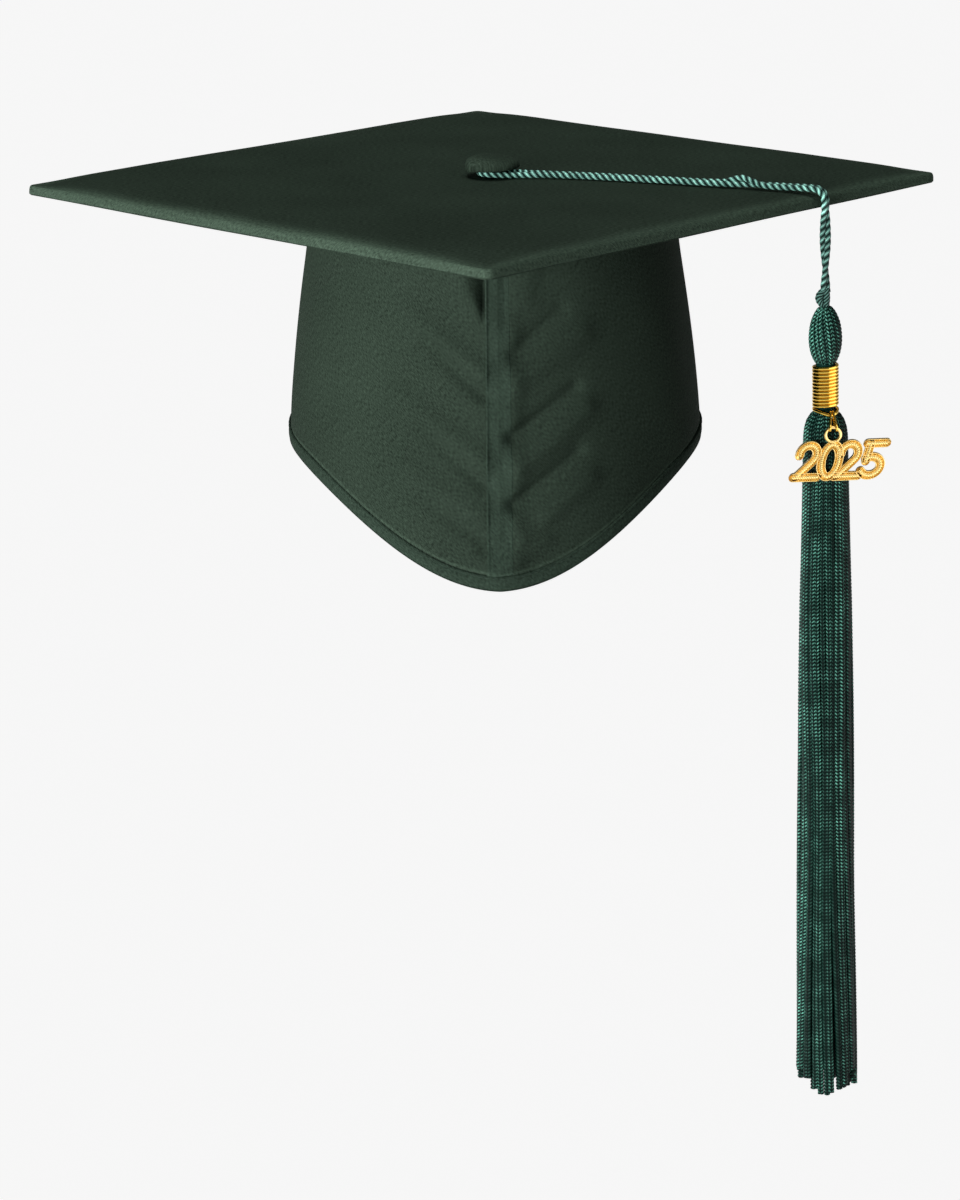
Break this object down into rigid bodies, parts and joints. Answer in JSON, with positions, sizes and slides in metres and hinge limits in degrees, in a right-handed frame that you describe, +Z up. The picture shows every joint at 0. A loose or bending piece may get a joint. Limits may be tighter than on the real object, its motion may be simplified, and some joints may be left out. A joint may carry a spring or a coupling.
{
  "type": "graduation cap",
  "caption": "Square mortarboard on a soft peaked crown, with a looped cord under a covered button, a hanging tassel, a gold band and a year charm.",
  "frame": {"origin": "centre of the head opening, on the crown's middle, level with the hem at the sides", "axes": "+Z up through the board, -Y to the wearer's front, which is the corner of the board over the peak, +X to the side where the tassel hangs"},
  "size_m": [0.3384, 0.3384, 0.3602],
  "materials": {
    "cap_cloth": "matt satin-woven cloth",
    "lining_cloth": "thin plain lining",
    "sweatband_cloth": "brushed woven band",
    "buckram": "stiff open weave",
    "elastic": "ribbed elastic",
    "board_sheet": "stiff pressed sheet",
    "board_foam": "thin foam",
    "button_metal": "stamped",
    "button_plastic": "moulded",
    "rivet_metal": "plain",
    "cord_yarn": "lustrous twisted rayon",
    "tassel_yarn": "lustrous chainette rayon",
    "binding_thread": "wound thread",
    "gold_wire": "polished",
    "gold_casting": "cast, polished rims over a corded ground"
  },
  "bodies": {
    "cap": {"board_core": "board_sheet", "board_padding": "board_foam", "board_top_cover": "cap_cloth", "board_bottom_cover": "cap_cloth", "button_cover": "cap_cloth", "button_shell": "button_metal", "button_back": "button_plastic", "button_rivet": "rivet_metal", "rivet_washer": "rivet_metal", "crown_tip": "cap_cloth", "crown_panel_left": "cap_cloth", "crown_panel_right": "cap_cloth", "interlining_left": "buckram", "interlining_right": "buckram", "lining_wall": "lining_cloth", "lining_tip": "lining_cloth", "front_seam_strip": "cap_cloth", "back_seam_strip": "cap_cloth", "hem_band": "cap_cloth", "sweatband": "sweatband_cloth", "back_elastic": "elastic"},
    "cord_loop": {"cord_on_board": "cord_yarn"},
    "hanging_cord": {"cord_hanging": "cord_yarn", "cord_knot": "cord_yarn"},
    "tassel": {"tassel_head": "tassel_yarn", "anchor_knot": "cord_yarn", "neck_binding": "binding_thread", "gold_band": "gold_wire", "skirt_core": "tassel_yarn", "skirt_strands": "tassel_yarn"},
    "bail": {"charm_bail": "gold_wire"},
    "charm": {"charm_ring": "gold_wire", "year_charm": "gold_casting"}
  },
  "joints": [
    {"name": "tassel_swivel", "type": "hinge", "parent": "cap", "child": "cord_loop", "pos_m": [0, 0, 0.0994], "axis": [0, 0, 1], "range_deg": [-44, 0]},
    {"name": "tassel_swing", "type": "hinge", "parent": "cord_loop", "child": "hanging_cord", "pos_m": [0.11884, -0.05044, 0.0901], "axis": [-0.3907, -0.9205, 0], "range_deg": [-8, 85]},
    {"name": "tassel_sway", "type": "hinge", "parent": "hanging_cord", "child": "tassel", "pos_m": [0.11953, -0.05044, 0.05961], "axis": [0.9205, -0.3907, 0], "range_deg": [-60, 60]},
    {"name": "bail_swing", "type": "hinge", "parent": "tassel", "child": "bail", "pos_m": [0.12209, -0.05584, 0.01725], "axis": [-0.9997, 0, -0.0227], "range_deg": [0, 50]},
    {"name": "charm_rock", "type": "hinge", "parent": "bail", "child": "charm", "pos_m": [0.12217, -0.06034, 0.01376], "axis": [0, 1, 0], "range_deg": [-25, 25]}
  ]
}
